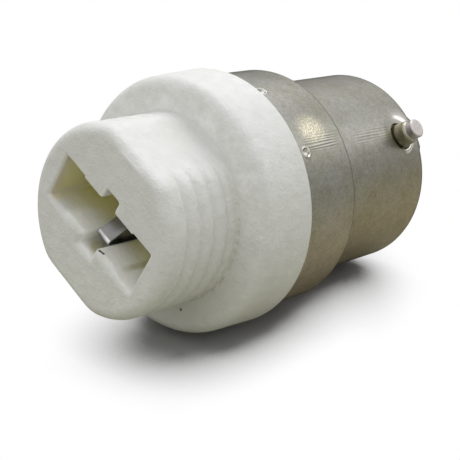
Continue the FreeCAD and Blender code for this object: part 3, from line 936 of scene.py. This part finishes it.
def fired_ceramic(n, shader):
    """Pale ceramic with painted shade below, in the slot and in corners; painted light on rims and flange.
    """
    s = socket_sizes()
    base, face, root = colours().ceramic, s.face_z, s.flange_front
    x, y, z = n.axes()
    r = n.from_axis()
    height = n.along(TABLE_UP)
    crumbs = n.noise(1700.0, 4.0, 0.7)
    inside = n.zone(r, 8.6, 8.0)
    end_wall = n.zone(x, 5.6, 6.5)

    # Painted shade: the low side, turned from the light, is tinted yellower as if by light bounced from
    # below.
    lower = n.mix(n.zone(height, 5, -6), base, scaled(base, 0.985, 0.99, 0.91))
    # Painted light: the flange's front face round the nose is paler on its upper side, where more light
    # falls.
    ring = n.times(n.zone(r, 9.85, 10.2), n.zone(r, 13.0, 12.3), n.zone(z, root + 0.2, root + 0.05),
                   n.zone(height, -2, 7), 0.85)
    blotch = n.mottle(n.mix(ring, lower, LIT_FLANGE_RING), scaled(base, 0.94, 0.945, 0.91), 0.8, 190.0)
    patch = n.mottle(blotch, scaled(base, 0.89, 0.895, 0.86), 0.75, 700.0)

    # Painted shade: the walls turn olive with depth, more towards the +X end and less on the lit upper +Y
    # wall.
    depth = n.math("MAXIMUM", n.zone(z, face - 0.4, face - 3.4),
                   n.times(end_wall, n.zone(z, face - 0.2, face - 1.6)))
    lit_wall_share = n.times(0.55, n.zone(y, 1.6, 2.3), n.zone(z, face - 5.5, face - 2.5))
    far_end = n.math("ADD", n.times(n.zone(x, -1.0, 5.5), 0.35), 0.65)
    tone = n.mix(n.times(inside, n.inverse(lit_wall_share), depth, far_end), patch, colours().slot_shade)

    # Painted shade in the corner where the nose meets the flange, beside the flat's -X end: a crumbly
    # darker band and a thin brown crease.
    shaded = n.times(n.zone(x, -3.0, -5.5), n.zone(y, -8.7, -7.6))
    root_shade = n.times(n.zone(z, root + 1.5, root + 0.7), n.zone(z, root - 0.4, root - 0.1),
                    n.ramp(crumbs, 0.40, 0.75), n.zone(r, s.nose_r + 0.3, s.nose_r + 0.1), shaded)
    root_crease_shade = n.times(n.zone(z, root + 0.2, root + 0.04), n.zone(r, s.nose_r + 0.12, s.nose_r + 0.02),
                     n.ramp(crumbs, 0.42, 0.62), shaded, 0.6)
    # Painted shade: the notch's far wall under the strip's fold is browner and darker.
    notch_end = n.near((-0.1, 3.7, 40.3), 0.6, 1.7)
    # Painted highlight on the rounding of the slot's +Y rim.
    rim = n.times(n.zone(z, face - 5.0, face - 2.2), n.zone(y, 1.9, 2.4), inside, n.zone(x, 5.2, 3.2),
                  n.inverse(notch_end), n.zone(z, face - 0.02, face - 0.55), 0.9)
    # Painted shade: an olive streak down the +Y wall at the slot's step.
    step = n.times(n.zone(n.off(x, -4.25), 0.5, 0.1), n.zone(y, 1.9, 2.3), inside,
                   n.zone(z, face - 0.8, face - 3.0), 0.6)
    # A browner band on the slot's +X end wall, just below its rim.
    end_wall_band = n.times(end_wall, n.zone(z, face - 2.4, face - 0.7), inside,
                        n.zone(z, face - 0.06, face - 0.3), 0.5)
    # Painted highlight on the rounding of the slot's -Y rim.
    edge_highlight = n.times(n.zone(y, -1.9, -2.2), n.zone(z, face - 0.004, face - 0.06), inside,
                        n.zone(z, face - 0.5, face - 0.36), n.zone(x, 6.0, 5.0))
    # Painted shade: the notch below the retaining strip is a darker neutral grey.
    under_strip = n.times(n.zone(z, face - 2.6, face - 3.6), n.zone(n.off(x, 0), 1.5, 1.1), inside, 0.9)
    for mask, shade in ((root_shade, scaled(base, 0.86, 0.84, 0.73)), (root_crease_shade, ROOT_CREASE_SHADE),
                        (n.times(notch_end, 0.75), NOTCH_SHADE), (rim, RIM_HIGHLIGHT), (step, STEP_SHADE),
                        (end_wall_band, END_BROWN), (edge_highlight, EDGE_HIGHLIGHT), (under_strip, UNDER_STRIP_SHADE)):
        tone = n.mix(mask, tone, shade)
    for chip in CHIPS:
        tone = n.mix(n.near(*chip), tone, CHIP_BROWN)
    n.set(shader, Base_Color=tone, Roughness=0.5, IOR=1.5, Specular_IOR_Level=0.35)
    n.bump(shader, n.grain(900.0, 4200.0, 0.35), 0.6, 0.00034)


def dull_nickel(n, shader):
    """Dull plate with draw lines and glitter; painted shade below and at edges, painted sheen and glints.
    """
    s = cap_sizes()
    low = colours().metal_shaded_side
    z = n.axes()[2]
    # Painted shade: the plate is browner and darker on its low side, and a little lighter again on the
    # skirt.
    shaded_tone = n.mix(n.zone(z, s.shoulder_z - 0.5, s.shoulder_z + 1), low, scaled(low, 1.15, 1.14, 1.2))
    tone = n.mix(n.zone(n.along(TABLE_UP), 5.5, -3.0), colours().metal, shaded_tone)
    for size, amount, shade in SHELL_BLOTCHES:
        tone = n.mottle(tone, n.mix(1.0, tone, shade, "MULTIPLY"), amount, size)
    lines = n.use(draw_lines_group())
    tone = n.mix(n.times(lines["Dark"], 0.8), tone, LINE_DARK)
    # Painted sheen between the drawn lines.
    tone = n.mix(n.times(lines["Bright"], 0.5), tone, LINE_SHEEN)
    aside = beside_pin(n)

    def across(offset, place_z, stretch):
        """Distance over the wall from a place beside the front pin."""
        over = n.add("ShaderNodeCombineXYZ")
        n.set(over, X=n.times(n.math("SUBTRACT", aside, offset * MM), stretch),
              Y=n.math("SUBTRACT", z, place_z * MM))
        return n.vector("LENGTH", over.outputs[0])

    # A bright patch on the skirt: glittering specks in the plate over a painted highlight.
    turn = radians(PIN_TURNS["front"])
    front = n.zone(n.along((cos(turn), sin(turn), 0)), 0.0, 2.0)
    spots = n.math("ADD", n.ramp(n.noise(6500.0, 2.0), 0.46, 0.66), 0.3)
    patch = n.times(n.zone(across(2.3, 22.1, 1.2), 2.7, 0.5), front, spots)
    tone = n.mix(patch, tone, GLITTER_HIGHLIGHT)

    from_pin = across(0.0, s.pin_z, 1.0)
    gap_end = s.collar_r + s.collar_gap
    # Painted shade: the narrow gap round the pin's collar is near black.
    gap = n.zone(from_pin, gap_end + 0.05, gap_end - 0.02)
    tone = n.mix(gap, tone, GAP_SHADE)
    tone = n.mix(n.times(n.zone(from_pin, gap_end + 0.9, gap_end), 0.45), tone, HALO_BROWN)
    # Painted glints: an arc and a spread above the pin and a crescent below it; these places are also
    # smoother.
    arc = n.times(n.zone(n.off(from_pin, gap_end + 0.85), 0.45, 0.05),
                  n.near(at_turn(s.barrel_r, -106.0, 3.8), 0.4, 1.8))
    glint_spread = n.times(n.near(at_turn(s.barrel_r, -106.0, 4.2), 0.2, 1.8), 0.2)
    crescent = n.times(n.zone(from_pin, gap_end + 0.7, gap_end + 0.5),
                       n.near(at_turn(s.barrel_r, -122.0, 3.6), 1.5, 2.2))
    glint_places = n.times(n.inverse(gap), n.math("MAXIMUM", crescent, n.math("MAXIMUM", arc, glint_spread)))
    # Painted glints, broken up, round the punch marks.
    broken = n.ramp(n.noise(2600.0, 2.0), 0.36, 0.58)
    for mark in MARK_TURNS:
        spot = n.near(at_turn(s.skirt_r, mark, s.mark_z), s.mark_r + 0.05, s.mark_r + 0.35)
        glint_places = n.math("MAXIMUM", glint_places, n.times(spot, broken))
    tone = n.mix(n.times(glint_places, 0.85), tone, GLINT_BRIGHT)

    # Painted shade: a dark line in the corner at the shoulder.
    corner = n.times(n.zone(n.off(z, s.shoulder_z + 0.1), 0.30, 0.06), 0.75)
    # Painted shade: the plate darkens where the wall turns away at the outline.
    facing_away = n.add("ShaderNodeLayerWeight")
    n.set(facing_away, Blend=0.5)
    grazing_shade = n.times(n.ramp(facing_away.outputs["Facing"], 0.84, 0.98), 0.8)
    # Painted shade: the barrel's turned-in end is darker.
    end = n.times(n.zone(z, s.end_z + 1.0, s.end_z + 0.5), 0.6)
    for mask, shade in ((corner, SHOULDER_SHADE), (grazing_shade, GRAZING_SHADE), (end, END_EDGE_SHADE)):
        tone = n.mix(mask, tone, shade)
    grain = n.grain(1500.0, 6000.0, 0.5)
    roughness = n.math("SUBTRACT", n.spread(grain, 0.30, 0.46), n.times(glint_places, 0.14))
    n.set(shader, Base_Color=tone, Roughness=roughness, Metallic=1.0, Specular_Tint=(0.72, 0.72, 0.72, 1))
    n.bump(shader, n.math("SUBTRACT", grain, n.times(lines["Dark"], 0.5)), 0.4, 0.00006)


def pin_nickel(n, shader):
    """Bright tip on a stained collar."""
    reach = cap_sizes().collar_end
    outer = n.zone(n.from_axis(), reach - 0.08, reach + 0.1)
    tone = n.mix(outer, n.mottle(COLLAR_STAIN, COLLAR_DARK, 0.9, 1100.0),
                 n.mottle(TIP_BRIGHT, TIP_DULL, 0.6, 1300.0))
    n.set(shader, Base_Color=tone, Metallic=1.0, Roughness=0.3)
    n.bump(shader, n.grain(1800.0, 8000.0, 0.4), 0.4, 0.00006)


def grip_strip(n, shader):
    """Dull strip with a painted highlight along its fold, brightest at one end."""
    face, base = socket_sizes().face_z, colours().grip
    x, y, z = n.axes()
    # Painted highlight along the fold.
    along = n.math("ADD", n.times(n.zone(x, 0.3, -0.7), 0.5), 0.5)
    fold = n.times(n.zone(z, face - 2.12, face - 1.92), along)
    tint = n.mottle(base, scaled(base, 0.85, 0.84, 0.82), 0.4, 500.0)
    n.set(shader, Base_Color=n.mix(fold, tint, WHITE), Metallic=1.0, Roughness=0.28)


def metal(n, shader, tint, roughness, stretch, size, depth, shade):
    """Plated or bare metal with a drawn grain."""
    base = getattr(colours(), tint)
    drawn = n.add("ShaderNodeMapping")
    n.set(drawn, Vector=n.place, Scale=stretch)
    n.place = drawn.outputs["Vector"]
    tone = n.mottle(base, scaled(base, shade, shade * 0.98, shade * 0.94), 0.5, size)
    grain = n.grain(size * 3, size * 14, 0.5)
    n.set(shader, Base_Color=tone, Metallic=1.0,
          Roughness=n.spread(grain, roughness - 0.07, roughness + 0.07))
    n.bump(shader, grain, 0.25, depth)


def moulded(n, shader, tint, weights, roughness, size, depth, shade):
    """Moulded or woven surface that isn't metal."""
    base = scaled(getattr(colours(), tint), *weights)
    tone = n.mottle(base, scaled(base, shade, shade, shade), 0.4, size)
    n.set(shader, Base_Color=tone, Roughness=roughness)
    n.bump(shader, n.grain(size * 2, size * 12, 0.5), 0.3, depth)


OTHER_FINISHES = {"fired_ceramic": fired_ceramic, "dull_nickel": dull_nickel, "pin_nickel": pin_nickel,
                  "grip_strip": grip_strip}


def finish(name):
    """The material of this name, made when it is first asked for."""
    made = bpy.data.materials.get(name)
    if made is None:
        made = bpy.data.materials.new(name)
        made.use_nodes = True
        n = Nodes(made.node_tree)
        n.place = n.add("ShaderNodeTexCoord").outputs["Object"]
        shader = made.node_tree.nodes["Principled BSDF"]
        if name in METALS:
            metal(n, shader, *METALS[name])
        elif name in MOULDED:
            moulded(n, shader, *MOULDED[name])
        else:
            OTHER_FINISHES[name](n, shader)
    return made


INNER_FINISHES = {"contact_clip": "contact_strip", "crimp_ferrule": "contact_strip",
                  "backing_spring": "spring_wire", "lead_wire": "tinned_wire",
                  "wire_sleeve": "woven_sleeve", "rear_cover": "cover_ceramic"}


def dress_inner():
    """Finishes for the solids inside, which keep their own shape."""
    for name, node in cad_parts.items():
        for start, finish_name in INNER_FINISHES.items():
            if name.startswith(start):
                for place in node.material_slots:
                    place.material = finish(finish_name)


# The stage

CAMERA_PLACE = Vector((-52.195, -69.121, 115.138))
CAMERA_RIGHT = Vector((-0.60766723, -0.4294272, -0.66808145))
CAMERA_DOWN = Vector((-0.69092848, 0.70064364, 0.1780908))
CAMERA_AHEAD = Vector((0.39160999, 0.56981644, -0.72246166))
FOCAL_PIXELS = 1170.0
PICTURE = 460
# The part lies on the flange's back edge and the skirt's corner.
TABLE_UP = Vector((0.5027, -0.8593, 0.0948)).normalized()
TABLE_DROP = 11.12
TABLE_HALF = 4000
# Level in the table and away from the camera.
TABLE_BACK = Vector((0.54, 0.225, -0.82)).normalized()
# How much of the white backdrop mirrored and refracted rays see.
BACKDROP_SHARE = 0.2


def leaning(back, angle):
    """The table's upright, leant over by an angle in degrees."""
    return (TABLE_UP * cos(radians(angle)) + back * sin(radians(angle))).normalized()


# Round patches of sky: direction, inner and outer radius in degrees, and strength.
SKY_LOBES = ((leaning(TABLE_BACK, 32), 14, 30, 2.2),
             (Vector((-0.07, -0.69, -0.72)).normalized(), 6, 16, 1.2),
             (Vector((0.69, 0.06, -0.72)).normalized(), 8, 34, -0.22))
# The rest of the sky, level with the table and straight above it.
SKY_LOW = 0.27
SKY_HIGH = 1.21
# The shadow shows how far the part hides the sky about a direction, which leans away from the
# camera at the nose's end and turns upright towards the cap's end.
SHADE_SIDE = leaning((TABLE_BACK - CAMERA_RIGHT * 0.4).normalized(), 24)
SHADE_TURN = (-27, -5)
SHADE_REACH = 18
SHADE_SAMPLES = 32
# The sky's open share in the deepest shadow: at the nose's end, what the cap's end takes off, what
# its far side adds and over which run, and how much more is open where the shadow ends.
SHADE_START = 0.335
SHADE_CAP = 0.105
SHADE_RIGHT = 0.08
SHADE_RIGHT_RUN = (-4, 2)
SHADE_RANGE = 0.39
SHADE_POWER = 0.6


def emptied(tree, coordinate):
    """A tree cleared of its first nodes, with its place taken from this coordinate."""
    tree.nodes.clear()
    n = Nodes(tree)
    n.place = n.add("ShaderNodeTexCoord").outputs[coordinate]
    return n


def shader_of(n, kind, **values):
    """The output of a new shader."""
    node = n.add(kind)
    n.set(node, **values)
    return node.outputs[0]


def camera_rays(n, share):
    """The camera's rays as a mask, and the same with a share of the mirrored and refracted rays."""
    path = n.add("ShaderNodeLightPath").outputs
    mirrored = n.math("MAXIMUM", path["Is Glossy Ray"], path["Is Transmission Ray"])
    camera = path["Is Camera Ray"]
    return camera, n.math("MAXIMUM", camera, n.times(mirrored, share))


def table_finish():
    """White to the camera with the object's shadow on it, and see-through from below."""
    made = bpy.data.materials.new("pale_table")
    made.use_nodes = True
    n = emptied(made.node_tree, "Object")
    camera, seen = camera_rays(n, BACKDROP_SHARE / 2)
    sideways = n.along(CAMERA_RIGHT)
    to_cap = n.zone(sideways, *SHADE_TURN)
    lean = n.add("ShaderNodeMix", data_type="VECTOR")
    n.put((lean.inputs["Factor"], lean.inputs[4], lean.inputs[5]), (to_cap, SHADE_SIDE, TABLE_UP))
    near = n.add("ShaderNodeAmbientOcclusion", samples=SHADE_SAMPLES)
    n.set(near, Distance=SHADE_REACH * MM, Normal=lean.outputs[1])
    start = n.math("SUBTRACT", SHADE_START, n.times(to_cap, SHADE_CAP))
    start = n.math("ADD", start, n.times(n.zone(sideways, *SHADE_RIGHT_RUN), SHADE_RIGHT))
    opened = n.math("DIVIDE", n.math("SUBTRACT", near.outputs["AO"], start), SHADE_RANGE)
    opened = n.math("MAXIMUM", 0.0, n.math("MINIMUM", 1.0, opened))
    bare = n.math("POWER", opened, SHADE_POWER)
    shade = shader_of(n, "ShaderNodeBsdfDiffuse", Color=n.mix(seen, colours().table, colours().shadow))
    white = shader_of(n, "ShaderNodeEmission", Color=WHITE)
    lit = n.blend(n.times(camera, bare), shade, white)
    behind = n.add("ShaderNodeNewGeometry").outputs["Backfacing"]
    surface = n.blend(behind, lit, shader_of(n, "ShaderNodeBsdfTransparent"))
    n.set(n.add("ShaderNodeOutputMaterial"), Surface=surface)
    return made


def make_table():
    """The large level table under the part."""
    bm = bmesh.new()
    bmesh.ops.create_grid(bm, x_segments=1, y_segments=1, size=TABLE_HALF)
    turn = Vector((0, 0, 1)).rotation_difference(TABLE_UP).to_matrix().to_4x4()
    bmesh.ops.transform(bm, verts=bm.verts, matrix=Matrix.Translation(-TABLE_UP * TABLE_DROP) @ turn)
    bmesh.ops.scale(bm, vec=(MM, MM, MM), verts=bm.verts)
    mesh = bpy.data.meshes.new("table")
    bm.to_mesh(mesh)
    bm.free()
    mesh.materials.append(table_finish())
    table = bpy.data.objects.new("table", mesh)
    bpy.context.scene.collection.objects.link(table)


def make_sky():
    """Soft light that is strongest above the table; the camera sees a white backdrop."""
    world = bpy.data.worlds.new("studio")
    bpy.context.scene.world = world
    world.use_nodes = True
    n = emptied(world.node_tree, "Generated")
    strength = n.spread(n.along(TABLE_UP), SKY_LOW, SKY_HIGH)
    for direction, inner, outer, share in SKY_LOBES:
        mask = n.ramp(n.along(direction), cos(radians(outer)), cos(radians(inner)))
        strength = n.math("ADD", strength, n.times(mask, share))
    light = shader_of(n, "ShaderNodeBackground", Color=WHITE, Strength=strength)
    white = shader_of(n, "ShaderNodeBackground", Color=WHITE)
    seen = camera_rays(n, BACKDROP_SHARE)[1]
    n.set(n.add("ShaderNodeOutputWorld"), Surface=n.blend(seen, light, white))


def make_camera():
    """The camera that was fitted to the part's outlines, for a square picture."""
    data = bpy.data.cameras.new("camera")
    data.sensor_width = 36.0
    data.lens = FOCAL_PIXELS / PICTURE * data.sensor_width
    data.clip_start = 0.005
    data.clip_end = 20.0
    camera = bpy.data.objects.new("camera", data)
    turn = Matrix((CAMERA_RIGHT, -CAMERA_DOWN, -CAMERA_AHEAD)).transposed().to_4x4()
    camera.matrix_world = Matrix.Translation(CAMERA_PLACE * MM) @ turn
    bpy.context.scene.collection.objects.link(camera)
    bpy.context.scene.camera = camera


# Operators and panel

class ADAPTER_OT_ceramic(bpy.types.Operator):
    """Build the ceramic body with nose, flange and slot"""
    bl_idname = "adapter.ceramic"
    bl_label = "Ceramic Body"

    def execute(self, context):
        make_ceramic()
        return {"FINISHED"}


class ADAPTER_OT_shell(bpy.types.Operator):
    """Build the drawn metal shell of the cap"""
    bl_idname = "adapter.shell"
    bl_label = "Cap Shell"

    def execute(self, context):
        make_shell()
        return {"FINISHED"}


class ADAPTER_OT_pins(bpy.types.Operator):
    """Build the two bayonet pins"""
    bl_idname = "adapter.pins"
    bl_label = "Bayonet Pins"

    def execute(self, context):
        make_pins()
        return {"FINISHED"}


class ADAPTER_OT_end(bpy.types.Operator):
    """Build the end insulator with its soldered contacts"""
    bl_idname = "adapter.end"
    bl_label = "End Contacts"

    def execute(self, context):
        make_end()
        return {"FINISHED"}


class ADAPTER_OT_grip(bpy.types.Operator):
    """Build the retaining spring in the slot"""
    bl_idname = "adapter.grip"
    bl_label = "Retaining Spring"

    def execute(self, context):
        make_grip()
        return {"FINISHED"}


class ADAPTER_OT_inner(bpy.types.Operator):
    """Give the parts inside their finishes"""
    bl_idname = "adapter.inner"
    bl_label = "Inner Parts"

    def execute(self, context):
        dress_inner()
        return {"FINISHED"}


class ADAPTER_OT_stage(bpy.types.Operator):
    """Set up the table, the light and the camera"""
    bl_idname = "adapter.stage"
    bl_label = "Stage"

    def execute(self, context):
        make_table()
        make_sky()
        make_camera()
        context.scene.view_settings.view_transform = "Standard"
        return {"FINISHED"}


OPERATORS = (ADAPTER_OT_ceramic, ADAPTER_OT_shell, ADAPTER_OT_pins, ADAPTER_OT_end, ADAPTER_OT_grip,
             ADAPTER_OT_inner, ADAPTER_OT_stage)


class ADAPTER_PT_panel(bpy.types.Panel):
    """Panel with the adapter's pieces and sizes"""
    bl_idname = "ADAPTER_PT_panel"
    bl_label = "Lamp Socket Adapter"
    bl_space_type = "VIEW_3D"
    bl_region_type = "UI"
    bl_category = "Adapter"

    def draw(self, context):
        layout = self.layout
        for operator in OPERATORS:
            layout.operator(operator.bl_idname)
        for group_name in GROUPS:
            box = layout.box()
            sizes = getattr(context.scene, group_name)
            for name in sizes.bl_rna.properties.keys():
                if name not in {"rna_type", "name"}:
                    box.prop(sizes, name)


GROUPS = {"adapter_socket": SocketSizes, "adapter_cap": CapSizes, "adapter_colours": FinishColours}
CLASSES = (*GROUPS.values(), *OPERATORS, ADAPTER_PT_panel)


def register():
    """Adds the classes and the scene's properties."""
    for cls in CLASSES:
        bpy.utils.register_class(cls)
    for name, cls in GROUPS.items():
        setattr(bpy.types.Scene, name, PointerProperty(type=cls))


def unregister():
    """Takes the classes and the scene's properties away again."""
    for name in GROUPS:
        delattr(bpy.types.Scene, name)
    for cls in reversed(CLASSES):
        bpy.utils.unregister_class(cls)


def corners(pair):
    """Two corners as plain lists."""
    return [list(corner) for corner in pair]


def main():
    """Builds every piece and the stage."""
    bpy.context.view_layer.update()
    register()
    bpy.ops.adapter.ceramic()
    bpy.ops.adapter.shell()
    bpy.ops.adapter.pins()
    bpy.ops.adapter.end()
    bpy.ops.adapter.grip()
    bpy.ops.adapter.inner()
    bpy.ops.adapter.stage()


if __name__ == "__main__":
    main()
